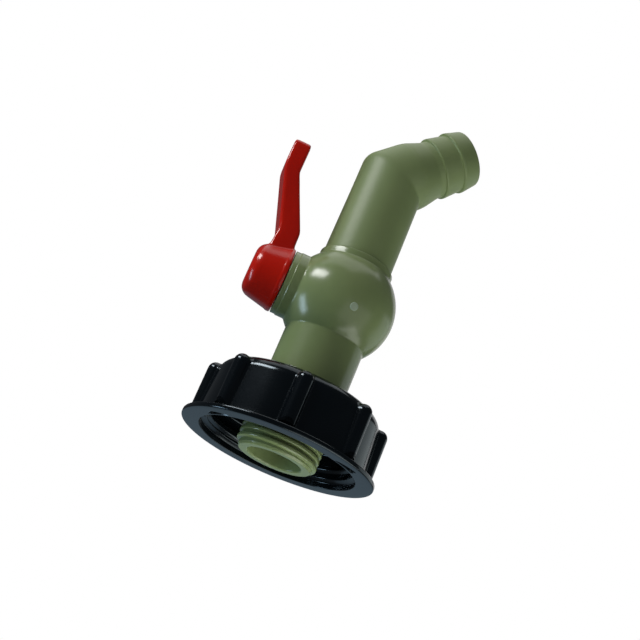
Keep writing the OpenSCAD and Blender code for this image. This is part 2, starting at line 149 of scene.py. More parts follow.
def grid_object(name, grid, material, close_rows=True, sharp_angle=40):
    """Grid is rows x columns x 3. Columns always close round the axis."""
    rows, columns, _ = grid.shape
    mesh = bpy.data.meshes.new(name)
    faces = []
    for i in range(rows if close_rows else rows - 1):
        below = i * columns
        above = ((i + 1) % rows) * columns
        for j in range(columns):
            k = (j + 1) % columns
            faces.append((below + j, below + k, above + k, above + j))
    mesh.from_pydata(grid.reshape(-1, 3).tolist(), [], faces)
    return add_object(name, finish_mesh(mesh, sharp_angle), material)


def turned(name, outline, material, steps=128, close_rows=True, sharp_angle=40):
    """Turns an outline of (radius, height) points about Z."""
    outline = np.array(outline)
    angles = np.linspace(0, 2 * math.pi, steps, endpoint=False)
    grid = np.zeros((len(outline), steps, 3))
    grid[:, :, 0] = outline[:, :1] * np.cos(angles)
    grid[:, :, 1] = outline[:, :1] * np.sin(angles)
    grid[:, :, 2] = outline[:, 1:]
    return grid_object(name, grid, material, close_rows, sharp_angle)


def place(obj, matrix):
    """Moves the mesh itself, so that the object stays at the origin."""
    obj.data.transform(matrix)
    return obj

# %% [markdown]
# Plastic looks like plastic through small things: a slow change of colour, a faint orange-peel
# ripple from the mould, fine dust, and gloss that varies a little. One function builds that, and each
# finish calls it with its own colours and scales.
# %% Plastic finish
def set_socket(node, name, value):
    if name in node.inputs:
        node.inputs[name].default_value = value


def plastic(name, colour, other_colour, roughness, ripple, coat=0.0, specular=0.5, subsurface=0.0,
            tint=None, dust=0.0):
    material = bpy.data.materials.new(name)
    material.use_nodes = True
    nodes = material.node_tree.nodes
    links = material.node_tree.links
    shader = nodes["Principled BSDF"]
    set_socket(shader, "Coat Weight", coat)
    set_socket(shader, "Coat Roughness", 0.06)
    set_socket(shader, "Specular IOR Level", specular)
    set_socket(shader, "IOR", 1.49)
    if subsurface > 0:
        set_socket(shader, "Subsurface Weight", subsurface)
        set_socket(shader, "Subsurface Radius", (0.9, 1.0, 0.5))
        set_socket(shader, "Subsurface Scale", 0.0012)
    if tint:
        set_socket(shader, "Specular Tint", tint)
    place_node = nodes.new("ShaderNodeTexCoord")
    cloud = nodes.new("ShaderNodeTexNoise")
    cloud.inputs["Scale"].default_value = 55.0
    cloud.inputs["Detail"].default_value = 3.0
    links.new(place_node.outputs["Object"], cloud.inputs["Vector"])
    blend = nodes.new("ShaderNodeValToRGB")
    blend.color_ramp.elements[0].position = 0.32
    blend.color_ramp.elements[1].position = 0.72
    blend.color_ramp.elements[0].color = (*colour, 1)
    blend.color_ramp.elements[1].color = (*other_colour, 1)
    links.new(cloud.outputs["Fac"], blend.inputs["Fac"])
    fine = nodes.new("ShaderNodeTexNoise")
    fine.inputs["Scale"].default_value = 1600.0
    fine.inputs["Detail"].default_value = 4.0
    links.new(place_node.outputs["Object"], fine.inputs["Vector"])
    rough = nodes.new("ShaderNodeMapRange")
    rough.inputs["From Min"].default_value = 0.3
    rough.inputs["From Max"].default_value = 0.7
    rough.inputs["To Min"].default_value = roughness * 0.92
    rough.inputs["To Max"].default_value = roughness * 1.1
    links.new(fine.outputs["Fac"], rough.inputs["Value"])
    links.new(rough.outputs["Result"], shader.inputs["Roughness"])
    speck = nodes.new("ShaderNodeTexNoise")
    speck.inputs["Scale"].default_value = 900.0
    speck.inputs["Detail"].default_value = 2.0
    links.new(place_node.outputs["Object"], speck.inputs["Vector"])
    speck_ramp = nodes.new("ShaderNodeValToRGB")
    speck_ramp.color_ramp.elements[0].position = 0.70
    speck_ramp.color_ramp.elements[1].position = 0.76
    speck_ramp.color_ramp.elements[0].color = (0, 0, 0, 1)
    speck_ramp.color_ramp.elements[1].color = (dust, dust, dust, 1)
    links.new(speck.outputs["Fac"], speck_ramp.inputs["Fac"])
    mixer = nodes.new("ShaderNodeMix")
    mixer.data_type = "RGBA"
    links.new(speck_ramp.outputs["Color"], mixer.inputs["Factor"])
    links.new(blend.outputs["Color"], mixer.inputs[6])
    mixer.inputs[7].default_value = (0.45, 0.46, 0.42, 1)
    links.new(mixer.outputs[2], shader.inputs["Base Color"])
    peel = nodes.new("ShaderNodeTexNoise")
    peel.inputs["Scale"].default_value = 260.0
    peel.inputs["Detail"].default_value = 2.0
    links.new(place_node.outputs["Object"], peel.inputs["Vector"])
    bump = nodes.new("ShaderNodeBump")
    bump.inputs["Strength"].default_value = ripple
    bump.inputs["Distance"].default_value = 0.0002
    links.new(peel.outputs["Fac"], bump.inputs["Height"])
    links.new(bump.outputs["Normal"], shader.inputs["Normal"])
    return material


olive = plastic("olive_plastic", (0.185, 0.240, 0.100), (0.205, 0.262, 0.112), 0.22, 0.05,
                specular=0.5, subsurface=0.05, dust=0.01)
olive_satin = plastic("olive_satin", (0.185, 0.240, 0.100), (0.205, 0.262, 0.112), 0.42, 0.06,
                      specular=0.35, subsurface=0.05, dust=0.01)
pip_finish = plastic("pip_plastic", (0.30, 0.38, 0.26), (0.34, 0.43, 0.30), 0.35, 0.10, dust=0.03)
black = plastic("black_plastic", (0.0012, 0.0022, 0.0032), (0.0022, 0.0035, 0.005), 0.15, 0.04,
                specular=0.45, tint=(0.75, 0.9, 1.0, 1), dust=0.006)
red = plastic("red_plastic", (0.50, 0.006, 0.0003), (0.55, 0.008, 0.0005), 0.22, 0.06,
              coat=0.1, specular=0.45, dust=0.006)
print("plastic finishes:", olive.name, black.name, red.name)

# %% [markdown]
# The inner pieces show only through the open ends: white seats, a pale ball, black rubber rings and a
# steel screw. They are small, but each still gets a finish with its own grain.
# %% Finishes of the inner pieces
pale = plastic("ball_plastic", (0.62, 0.62, 0.56), (0.70, 0.70, 0.65), 0.18, 0.05, dust=0.02)
seat = plastic("seat_plastic", (0.72, 0.72, 0.68), (0.80, 0.80, 0.77), 0.42, 0.12, dust=0.02)
rubber = plastic("black_rubber", (0.010, 0.010, 0.010), (0.018, 0.018, 0.018), 0.62, 0.5, dust=0.05)
spindle = plastic("stem_plastic", (0.42, 0.42, 0.38), (0.50, 0.50, 0.45), 0.38, 0.2, dust=0.03)


def steel_finish():
    material = bpy.data.materials.new("screw_steel")
    material.use_nodes = True
    nodes = material.node_tree.nodes
    links = material.node_tree.links
    shader = nodes["Principled BSDF"]
    shader.inputs["Metallic"].default_value = 1.0
    shader.inputs["Base Color"].default_value = (0.60, 0.61, 0.63, 1)
    place_node = nodes.new("ShaderNodeTexCoord")
    grain = nodes.new("ShaderNodeTexNoise")
    grain.inputs["Scale"].default_value = 2200.0
    links.new(place_node.outputs["Object"], grain.inputs["Vector"])
    rough = nodes.new("ShaderNodeMapRange")
    rough.inputs["To Min"].default_value = 0.22
    rough.inputs["To Max"].default_value = 0.42
    links.new(grain.outputs["Fac"], rough.inputs["Value"])
    links.new(rough.outputs["Result"], shader.inputs["Roughness"])
    return material


steel = steel_finish()
INNER_FINISH = {
    "cap_gasket": rubber, "ball": pale, "seat_inlet": seat, "seat_outlet": seat,
    "seat_cushion_inlet": rubber, "seat_cushion_outlet": rubber, "stem": spindle,
    "thrust_washer": seat, "stem_ring_inner": rubber, "stem_ring_outer": rubber,
    "handle_screw": steel, "handle_washer": steel, "handle_plug": red,
}
for node_name, finish in INNER_FINISH.items():
    shown = frame["nodes"][node_name]
    shown.data.materials.clear()
    shown.data.materials.append(finish)
print("inner pieces finished:", len(INNER_FINISH))

# %% [markdown]
# The screw cap is one moulding. Its outline is turned, but the eight grip ribs grow out of the wall
# with a soft foot and a domed top. Separate bars would show a hard seam there, so the wall is a
# height field: each point moves out along its normal until it reaches the blend of wall and rib.
# %% Sizes of the screw cap
RIB_COUNT = 8
RIB_HALF = 3.2
RIB_FROM = math.radians(-96)
RIB_OUT = 37.6
RIB_FOOT = 1.1
WALL_LOW = 34.6
WALL_HIGH = 33.6
SHOULDER = 5.5
MOUTH_R = 32.3
ROOT_R = 30.2
HOLE_R = 16.7
BOSS_WALL = 19.2
BOSS_DROP = 2.4
END_WALL = gasket_high.z / MM
RIM = RIM_Z / MM
TOP = CAP_TOP / MM
FLANGE = FLANGE_R / MM
FLANGE_TOP = RIM + 2.0
RIB_TOP = TOP - 1.7 - RIB_HALF
print("cap from %.1f to %.1f mm, end wall at %.1f mm" % (RIM, TOP, END_WALL))

# %% Columns and rows of the cap
def rib_columns():
    """Directions round the cap, close together where a rib's sides are steep."""
    offsets = [0, .8, 1.5, 2.0, 2.4, 2.7, 2.9, 3.04, 3.13, 3.2, 3.28, 3.4, 3.56, 3.8, 4.1, 4.5, 5.1,
               5.9, 6.9, 8.0, 9.2, 10.4, 11.6]
    half = [math.asin(v / 35.0) for v in offsets]
    pitch = 2 * math.pi / RIB_COUNT
    one = sorted(set([-a for a in half] + half)) + [pitch / 2]
    return np.array([a + k * pitch + RIB_FROM for k in range(RIB_COUNT) for a in one])


def wall_rows():
    """Outer outline from the flange's top to the flat top, with extra rows at the ribs' tops."""
    rows = [(WALL_LOW + 0.8, FLANGE_TOP), (WALL_LOW + 0.25, FLANGE_TOP + 0.2),
            (WALL_LOW, FLANGE_TOP + 0.7)]
    shoulder_z = TOP - SHOULDER
    lean = (WALL_LOW - WALL_HIGH) / (shoulder_z - FLANGE_TOP)
    for z in list(np.linspace(FLANGE_TOP + 1.5, shoulder_z - 3, 9)) + list(
            np.linspace(shoulder_z - 2.6, shoulder_z, 8)):
        rows.append((WALL_LOW - lean * (z - FLANGE_TOP), z))
    for k in range(1, 23):
        a = math.radians(90 * k / 22)
        rows.append((WALL_HIGH - SHOULDER + SHOULDER * math.cos(a),
                     shoulder_z + SHOULDER * math.sin(a)))
    rows.append((WALL_HIGH - SHOULDER - 1.5, TOP))
    return np.array(rows)


columns = rib_columns()
wall = wall_rows()
print("cap grid:", len(columns), "columns,", len(wall), "wall rows")

# %% Grow the ribs out of the wall
def row_normals(rows):
    run = np.gradient(rows, axis=0)
    normal = np.stack([run[:, 1], -run[:, 0]], axis=1)
    return normal / np.linalg.norm(normal, axis=1, keepdims=True)


def rib_distance(r, z, angles):
    """Distance to the nearest rib: a bar with a round face and a domed top."""
    pitch = 2 * math.pi / RIB_COUNT
    turn = (angles - RIB_FROM + pitch / 2) % pitch - pitch / 2
    x = r * np.cos(turn)
    y = r * np.sin(turn)
    core = RIB_OUT - RIB_HALF
    return np.sqrt(np.maximum(x - core, 0) ** 2 + y ** 2 + np.maximum(z - RIB_TOP, 0) ** 2) - RIB_HALF


def soft_union(a, b, blend):
    share = np.clip(0.5 + 0.5 * (b - a) / blend, 0, 1)
    return b * (1 - share) + a * share - blend * share * (1 - share)


def ribbed_wall(rows, angles):
    normal = row_normals(rows)
    base_r, base_z = rows[:, :1], rows[:, 1:]
    low = np.zeros((len(rows), len(angles)))
    high = np.full_like(low, 9.0)
    for _ in range(26):
        middle = (low + high) / 2
        r = base_r + normal[:, :1] * middle
        z = base_z + normal[:, 1:] * middle
        inside = soft_union(middle, rib_distance(r, z, angles[None, :]), RIB_FOOT) < 0
        low = np.where(inside, middle, low)
        high = np.where(inside, high, middle)
    low[0] = 0
    low[-1] = 0
    return base_r + normal[:, :1] * low, base_z + normal[:, 1:] * low


wall_r_grid, wall_z_grid = ribbed_wall(wall, columns)
wall_r_grid = np.minimum(wall_r_grid, FLANGE - 0.8)
print("ribs reach %.2f mm" % wall_r_grid.max())

# %% [markdown]
# The rest of the cap is turned: a wide flat rim face, a flange with small round edges, and the hollow
# inside with a ring round the spigot. Where the coarse thread starts, the mould leaves two crescent
# pockets in the rim face, each with a thin lip towards the mouth. They are pressed into the rim's rows.
# %% Join rim, wall and inside into one cap
POCKETS = [(-153.0, -135.0, 33.0, 35.2, 0.35), (-56.0, -39.0, 33.1, 36.4, 0.85)]
POCKET_DEPTH = 1.4
mouth_side = rounded([
    (ROOT_R, RIM + 4.4, 0), (ROOT_R, RIM + 3.4, 0.3), (MOUTH_R, RIM + 2.4, 0.3), (MOUTH_R, RIM, 0.22),
    (MOUTH_R + 0.5, RIM, 0)], steps=5, closed=False)
rim_face = [(r * MM, RIM * MM) for r in np.linspace(MOUTH_R + 0.6, MOUTH_R + 4.6, 17)]
rim_edge = rounded([
    (MOUTH_R + 5.0, RIM, 0), (FLANGE, RIM, 0.55), (FLANGE, FLANGE_TOP, 0.7),
    (WALL_LOW + 0.8, FLANGE_TOP, 0)], steps=6, closed=False)
inside = rounded([
    (WALL_HIGH - SHOULDER - 1.5, TOP, 0), (HOLE_R, TOP, 0.5), (HOLE_R, END_WALL - BOSS_DROP, 0.4),
    (BOSS_WALL, END_WALL - BOSS_DROP, 0.6), (BOSS_WALL, END_WALL, 0.6), (ROOT_R, END_WALL, 1.2),
    (ROOT_R, END_WALL - 3, 0), (ROOT_R, RIM + 12, 0), (ROOT_R, RIM + 4.4, 0)], steps=5, closed=False)


def spun(points, angles):
    points = np.array(points)
    return (np.repeat(points[:, :1] / MM, len(angles), axis=1),
            np.repeat(points[:, 1:] / MM, len(angles), axis=1))


def pocket_depth(r, angles):
    """Depth of the two crescent pockets at each place of the rim face."""
    depth = np.zeros(np.broadcast(r, angles).shape)
    turn = (np.degrees(angles) + 180) % 360 - 180
    for first, last, inner_r, outer_r, widest in POCKETS:
        along = (turn - first) / (last - first)
        inside_ends = (along > 0) & (along < 1)
        swell = np.where(along < widest, along / widest, (1 - along) / (1 - widest))
        edge = inner_r + 0.3 + (outer_r - inner_r - 0.3) * np.clip(swell, 0, 1) ** 0.7
        sides = smooth_step((r - inner_r) / 0.3) * smooth_step((edge - r) / 0.3 + 0.5)
        depth = np.maximum(depth, np.where(inside_ends, sides, 0) * POCKET_DEPTH)
    return depth


parts = [spun(mouth_side[:-1], columns), spun(rim_face, columns), spun(rim_edge[:-1], columns),
         (wall_r_grid, wall_z_grid), spun(inside[1:-1], columns)]
parts[1][1][:] += pocket_depth(parts[1][0], columns[None, :])
radius = np.vstack([p[0] for p in parts])
height = np.vstack([p[1] for p in parts])
cap_grid = np.stack([radius * np.cos(columns), radius * np.sin(columns), height], axis=2) * MM
cap = grid_object("screw_cap", cap_grid, black, close_rows=True, sharp_angle=50)
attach(cap, "body")
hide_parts("cap_nut")
print("screw cap:", len(cap.data.polygons), "faces")

# %% [markdown]
# Threads follow a helix, so Geometry Nodes make them: a spiral curve carries a small four-sided
# section, and the section shrinks at both ends, where a moulded thread runs out. The same tree makes
# the coarse thread in the cap and the finer one on the spigot.
# %% A node tree for threads
def thread_tree(material):
    tree = bpy.data.node_groups.new("thread_ridge", "GeometryNodeTree")
    face = tree.interface
    for label, kind, value in (
            ("Radius", "NodeSocketFloat", 0.03), ("Pitch", "NodeSocketFloat", 0.006),
            ("Turns", "NodeSocketFloat", 2.0), ("Depth", "NodeSocketFloat", 0.0014),
            ("Foot", "NodeSocketFloat", 0.003), ("Crest", "NodeSocketFloat", 0.001),
            ("Round", "NodeSocketFloat", 0.0005), ("Section Turn", "NodeSocketFloat", 0.0),
            ("Runout", "NodeSocketFloat", 0.1), ("Steps", "NodeSocketInt", 96)):
        socket = face.new_socket(label, in_out="INPUT", socket_type=kind)
        socket.default_value = value
    face.new_socket("Geometry", in_out="OUTPUT", socket_type="NodeSocketGeometry")
    nodes, links = tree.nodes, tree.links
    given = nodes.new("NodeGroupInput")
    result = nodes.new("NodeGroupOutput")

    def maths(kind, first, second=None):
        node = nodes.new("ShaderNodeMath")
        node.operation = kind
        for index, value in enumerate((first, second)):
            if value is None:
                continue
            if isinstance(value, (int, float)):
                node.inputs[index].default_value = value
            else:
                links.new(value, node.inputs[index])
        return node.outputs[0]

    spiral = nodes.new("GeometryNodeCurveSpiral")
    links.new(given.outputs["Steps"], spiral.inputs["Resolution"])
    links.new(given.outputs["Turns"], spiral.inputs["Rotations"])
    links.new(given.outputs["Radius"], spiral.inputs["Start Radius"])
    links.new(given.outputs["Radius"], spiral.inputs["End Radius"])
    links.new(maths("MULTIPLY", given.outputs["Pitch"], given.outputs["Turns"]),
              spiral.inputs["Height"])
    upright = nodes.new("GeometryNodeSetCurveNormal")
    upright.mode = "Z_UP"
    links.new(spiral.outputs["Curve"], upright.inputs["Curve"])
    along = nodes.new("GeometryNodeSplineParameter")
    from_start = maths("DIVIDE", along.outputs["Factor"], given.outputs["Runout"])
    to_end = maths("DIVIDE", maths("SUBTRACT", 1.0, along.outputs["Factor"]), given.outputs["Runout"])
    fade = maths("MINIMUM", maths("MINIMUM", from_start, to_end), 1.0)
    size = nodes.new("GeometryNodeSetCurveRadius")
    links.new(upright.outputs["Curve"], size.inputs["Curve"])
    links.new(maths("ADD", maths("MULTIPLY", fade, 0.92), 0.08), size.inputs["Radius"])
    section = nodes.new("GeometryNodeCurvePrimitiveQuadrilateral")
    section.mode = "TRAPEZOID"
    section.inputs["Offset"].default_value = 0.0
    links.new(given.outputs["Foot"], section.inputs["Bottom Width"])
    links.new(given.outputs["Crest"], section.inputs["Top Width"])
    links.new(maths("MULTIPLY", given.outputs["Depth"], 2.0), section.inputs["Height"])
    soft = nodes.new("GeometryNodeFilletCurve")
    soft.mode = "POLY"
    soft.inputs["Count"].default_value = 3
    links.new(section.outputs["Curve"], soft.inputs["Curve"])
    links.new(given.outputs["Round"], soft.inputs["Radius"])
    facing = nodes.new("GeometryNodeTransform")
    upward = nodes.new("ShaderNodeCombineXYZ")
    links.new(given.outputs["Section Turn"], upward.inputs["Z"])
    links.new(soft.outputs["Curve"], facing.inputs["Geometry"])
    links.new(upward.outputs["Vector"], facing.inputs["Rotation"])
    sweep = nodes.new("GeometryNodeCurveToMesh")
    sweep.inputs["Fill Caps"].default_value = True
    links.new(size.outputs["Curve"], sweep.inputs["Curve"])
    links.new(facing.outputs["Geometry"], sweep.inputs["Profile Curve"])
    real = nodes.new("GeometryNodeRealizeInstances")
    links.new(sweep.outputs["Mesh"], real.inputs["Geometry"])
    paint = nodes.new("GeometryNodeSetMaterial")
    paint.inputs["Material"].default_value = material
    links.new(real.outputs["Geometry"], paint.inputs["Geometry"])
    links.new(paint.outputs["Geometry"], result.inputs["Geometry"])
    return tree


def run_tree(name, tree, material, values):
    """Runs a node tree on an empty mesh and returns its result as a plain mesh object."""
    seed = add_object(name + "_seed", bpy.data.meshes.new(name + "_seed"), material)
    modifier = seed.modifiers.new("tree", "NODES")
    modifier.node_group = tree
    sockets = {item.name: item.identifier for item in tree.interface.items_tree
               if item.item_type == "SOCKET" and item.in_out == "INPUT"}
    for label, value in values.items():
        modifier[sockets[label]] = value
    seed.update_tag()
    graph = bpy.context.evaluated_depsgraph_get()
    mesh = bpy.data.meshes.new_from_object(seed.evaluated_get(graph))
    mesh.name = name
    bpy.data.objects.remove(seed)
    return add_object(name, finish_mesh(mesh, 60), material)

# %% [markdown]
# The tank's thread is coarse: 60 mm across with a 6 mm pitch. Inside a cap it stands inwards from the
# wall, so its section is turned to point at the axis. The printed spans show that it does.
# %% Thread inside the cap
CAP_PITCH = 6.0
CAP_TURNS = 2.2
CREST_IN = math.radians(-90)
CREST_OUT = math.radians(90)


def thread_report(obj, middle_r):
    """Prints the thread's radii, and how tall it stands on each side of its middle radius."""
    spots = np.array([v.co for v in obj.data.vertices]) / MM
    r = np.hypot(spots[:, 0], spots[:, 1])
    print("%s: radius %.2f to %.2f, height %.2f to %.2f mm" % (
        obj.name, r.min(), r.max(), spots[:, 2].min(), spots[:, 2].max()))
    tallest = [np.ptp(spots[:, 2][(np.abs(r - edge) < 0.02)][:3]) for edge in (r.min(), r.max())]
    print("  section is %.2f mm tall inside and %.2f mm outside %.1f mm" % (
        tallest[0], tallest[1], middle_r))
    return spots, r


cap_thread = run_tree("cap_thread", thread_tree(black), black, {
    "Radius": ROOT_R * MM, "Pitch": CAP_PITCH * MM, "Turns": CAP_TURNS, "Depth": 1.4 * MM,
    "Foot": 5.4 * MM, "Crest": 1.6 * MM, "Round": 0.5 * MM, "Section Turn": CREST_IN,
    "Runout": 0.05, "Steps": 120})
place(cap_thread, Matrix.Translation((0, 0, (RIM + 4.6) * MM)) @ Matrix.Rotation(
    math.radians(-150), 4, "Z"))
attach(cap_thread, "body")
thread_report(cap_thread, ROOT_R)

# %% [markdown]
# The valve body is turned about the inlet axis: spigot, pipe, round ball housing and the boss that
# takes the spout. A hollow arc blends each tube into the housing, as the mould does.
# %% Sizes of the valve body
SPIGOT_R = 16.6
SPIGOT_ROOT = 15.2
SPIGOT_TIP = 14.6
SPIGOT_LEN = 27.0
BORE_R = 11.0
PIPE_R = 16.3
BLEND = 1.0
BOSS_R = 15.6
CAVITY_R = 13.4
NECK_R = 13.6
CUSHION_BACK = 15.2
BALL_MM = BALL_Z / MM
HOUSING = HOUSING_R / MM
BOSS = BOSS_TOP / MM


def blend_arc(radius, below, steps=8):
    """The hollow between a tube and the housing, from the tube towards the housing."""
    reach = HOUSING + BLEND
    side = radius + BLEND
    rise = math.sqrt(reach ** 2 - side ** 2)
    lean = math.atan2(rise, side)
    sign = -1 if below else 1
    points = []
    for k in range(steps + 1):
        a = math.pi + lean * k / steps
        points.append((side + BLEND * math.cos(a), sign * (rise + BLEND * math.sin(a))))
    return points, lean


# %% Turn the body
lower_blend, lower_lean = blend_arc(PIPE_R, True)
upper_blend, upper_lean = blend_arc(BOSS_R, False)
outer = rounded([(SPIGOT_TIP - 1.5, 0, 0), (SPIGOT_TIP, 0, 0.5), (SPIGOT_ROOT, 0.9, 0.3),
                 (SPIGOT_ROOT, SPIGOT_LEN - 2, 0.3), (PIPE_R, SPIGOT_LEN - 1, 0.2),
                 (PIPE_R, SPIGOT_LEN + 2, 0)], closed=False)
outer += [(r * MM, (BALL_MM + z) * MM) for r, z in lower_blend]
for k in range(1, 64):
    a = -lower_lean + (lower_lean + upper_lean) * k / 64
    outer.append((HOUSING * math.cos(a) * MM, (BALL_MM + HOUSING * math.sin(a)) * MM))
outer += [(r * MM, (BALL_MM + z) * MM) for r, z in reversed(upper_blend)]
outer += rounded([(BOSS_R, BOSS - 1.2, 0), (BOSS_R, BOSS, 0.45), (14.4, BOSS, 0)], closed=False)[1:]
inner = rounded([(CAVITY_R, BOSS, 0), (CAVITY_R, BALL_MM - CUSHION_BACK, 0),
                 (BORE_R, BALL_MM - CUSHION_BACK, 0), (BORE_R, 0, 0.7), (SPIGOT_TIP - 1.5, 0, 0)],
                closed=False)
body = turned("valve_moulding", outer + inner[:-1], olive, steps=160, sharp_angle=48)
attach(body, "body")
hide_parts("valve_body")
print("valve body:", len(body.data.polygons), "faces")

# %% [markdown]
# The neck carries the stem, and stands out sideways under the handle. It is turned about its own axis
# and its foot follows the housing, so it meets the housing without a seam.
# %% Turn the neck
TO_NECK = Matrix.Translation((0, 0, BALL_Z)) @ Matrix.Rotation(math.radians(-90), 4, "Y")
neck_blend, neck_lean = blend_arc(NECK_R, False)
NECK = min(NECK_END / MM + 0.7, -handle_high.x / MM - 0.3)
foot_r = HOUSING - 0.35
neck_outer = [(foot_r * math.cos(neck_lean) * MM, foot_r * math.sin(neck_lean) * MM)]
neck_outer += [(r * MM, z * MM) for r, z in reversed(neck_blend)]
neck_outer += rounded([(NECK_R, 20.6, 0), (NECK_R, NECK - 2.4, 0.15), (NECK_R - 0.3, NECK - 2.1, 0.15),
                       (NECK_R - 0.3, NECK, 0.3), (8.0, NECK, 0.4), (8.0, NECK - 3.0, 0)],
                      closed=False)[1:]
neck_outer += [(8.0 * MM, 15 * MM)]
neck = turned("stem_neck", neck_outer, olive, steps=128, sharp_angle=48)
place(neck, TO_NECK)
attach(neck, "body")
print("neck:", len(neck.data.polygons), "faces")

# %% [markdown]
# The spigot's thread uses the same tree as the cap's, on the outside this time and much finer.
# %% Thread on the spigot
SPIGOT_PITCH = 2.7
SPIGOT_START = (99.3, 1.5)
spigot_thread = run_tree("spigot_thread", thread_tree(olive), olive, {
    "Radius": SPIGOT_ROOT * MM, "Pitch": SPIGOT_PITCH * MM, "Turns": 8.86, "Depth": 1.4 * MM,
    "Foot": 3.5 * MM, "Crest": 1.25 * MM, "Round": 0.5 * MM, "Section Turn": CREST_OUT,
    "Runout": 0.018, "Steps": 110})
place(spigot_thread, Matrix.Translation((0, 0, SPIGOT_START[1] * MM)) @ Matrix.Rotation(
    math.radians(SPIGOT_START[0]), 4, "Z"))
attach(spigot_thread, "body")
thread_report(spigot_thread, SPIGOT_ROOT)

# %% [markdown]
# The spout is a mitred elbow: two straight tubes meet on a slanted plane, and the mould rounds that
# edge more on the outside of the bend than on the inside. So each line along the tube runs straight,
# turns in a short arc of its own radius, and runs straight again. The barbs are rings on the tail.
# %% Sizes of the spout
TUBE_R = 14.5
TUBE_TOP_R = 14.3
TUBE_BORE = 10.5
BEND_H = 128.4
BEND = math.radians(45)
ROUND_INSIDE = 0.6
ROUND_OUTSIDE = 6.6
TAIL_NECK = 12.3
BARB_R = 13.1
TAIL_END = 11.8
BARB_1 = 19.8
BARB_2 = 28.3
TAIL_LEN = 36.2
OUTLET_BORE = 9.5
LEVEL_END = 118.0
TAIL_LEVEL = 6.9
SPOUT_TURNS = np.linspace(0, 2 * math.pi, 160, endpoint=False)


def tube_ring(radius, height):
    return np.stack([radius * np.cos(SPOUT_TURNS), radius * np.sin(SPOUT_TURNS),
                     height + 0 * SPOUT_TURNS], axis=1)


def tail_ring(radius, along):
    """A ring round the tail's axis, a distance along it from the bend point."""
    flat = radius * np.cos(SPOUT_TURNS)
    return np.stack([flat * math.cos(BEND) + along * math.sin(BEND), radius * np.sin(SPOUT_TURNS),
                     BEND_H - flat * math.sin(BEND) + along * math.cos(BEND)], axis=1)


def elbow_rings(radius, tail_radius, rounding, steps):
    """Rings from a level ring on the tube to a level ring on the tail, round the mitre."""
    inner_side = np.cos(SPOUT_TURNS)
    meet = radius * inner_side * math.tan(BEND / 2)
    turn_r = rounding[0] + (rounding[1] - rounding[0]) * (1 - inner_side) / 2
    reach = turn_r * math.tan(BEND / 2)
    rings = []
    for k in range(13):
        share = (k / 12) ** 0.8
        rings.append(tube_ring(radius, LEVEL_END + (BEND_H - meet - reach - LEVEL_END) * share))
    start = rings[-1]
    for k in range(1, steps + 1):
        a = BEND * k / steps
        rings.append(start + np.stack([turn_r * (1 - math.cos(a)), 0 * turn_r,
                                       turn_r * math.sin(a)], axis=1))
    for k in range(1, 9):
        share = k / 8
        tail_r = radius + (tail_radius - radius) * share
        rings.append(tail_ring(tail_r, (meet + reach) * (1 - share) + TAIL_LEVEL * share))
    return rings

# %% Build the spout
up_line = rounded([(13.4, BOSS, 0), (TUBE_R, BOSS, 0.3), (TUBE_R, BOSS + 1, 0)], closed=False)
spout_rings = [tube_ring(r / MM, z / MM) for r, z in up_line]
for share in np.linspace(0, 1, 8)[1:-1]:
    spout_rings.append(tube_ring(TUBE_R + (TUBE_TOP_R - TUBE_R) * share,
                                 BOSS + 1 + (LEVEL_END - BOSS - 1) * share))
spout_rings += elbow_rings(TUBE_TOP_R, TUBE_TOP_R, (ROUND_INSIDE, ROUND_OUTSIDE), 12)
tail_line = rounded([
    (TAIL_LEVEL + 0.3, TUBE_TOP_R, 0), (8.6, TUBE_TOP_R - 0.05, 4.0), (10.6, 14.0, 6.0),
    (17.2, TAIL_NECK, 4.0), (BARB_1 - 0.4, TAIL_NECK, 0.25), (BARB_1, BARB_R, 0.6),
    (BARB_1 + 1.0, BARB_R, 0.8), (BARB_2 - 0.4, TAIL_NECK, 0.25), (BARB_2, BARB_R, 0.6),
    (BARB_2 + 1.0, BARB_R, 0.8), (TAIL_LEN, TAIL_END, 1.2), (TAIL_LEN, OUTLET_BORE, 0.6),
    (TAIL_LEVEL + 3, OUTLET_BORE, 0)], steps=6, closed=False)
spout_rings += [tail_ring(r / MM, along / MM) for along, r in tail_line]
spout_rings += elbow_rings(TUBE_BORE, OUTLET_BORE, (0.5, 0.5), 3)[::-1]
spout_rings.append(tube_ring(TUBE_BORE, BOSS))
spout = grid_object("bent_spout", np.array(spout_rings) * MM, olive_satin, True, 42)
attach(spout, "body")
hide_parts("outlet_spout")
print("spout:", len(spout.data.polygons), "faces")

# %% [markdown]
# A round pip, where the plastic entered the mould, stands a quarter of a millimetre out of the ball
# housing on the side that the camera sees.
# %% Pip on the housing
PIP_R = 1.7
PIP_UP = 0.28
PIP_TOWARDS = Vector((0.161, -0.956, -0.247))
foot_z = math.sqrt(HOUSING ** 2 - PIP_R ** 2) - 0.08
pip_line = [(0.0, (HOUSING + PIP_UP) * MM)] + rounded([
    (0.4, HOUSING + PIP_UP, 0), (PIP_R - 0.2, foot_z + 0.08 + PIP_UP, 0.25), (PIP_R, foot_z, 0)],
    closed=False)
pip = turned("gate_pip", pip_line, pip_finish, steps=48, close_rows=False)
place(pip, Matrix.Translation((0, 0, BALL_Z)) @ PIP_TOWARDS.to_track_quat("Z", "Y").to_matrix().to_4x4())
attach(pip, "body")

# %% [markdown]
# The handle is one moulding too: a tapered cap with a lever that grows out of it. The measured model
# has both with hard edges, so a copy of it is remeshed finely and then smoothed. The cap is smoothed
# a little, so the thin band at its rim stays, and the lever more, for the bevels that catch the light.
# %% Soften the handle
HANDLE_VOXEL = 0.29
CAP_PASSES = 6
LEVER_PASSES = 60
TIP_MIDDLE = 50.1
TIP_HALF = 7.5
TIP_CORNER = 2.4
END_BAND = 7.0


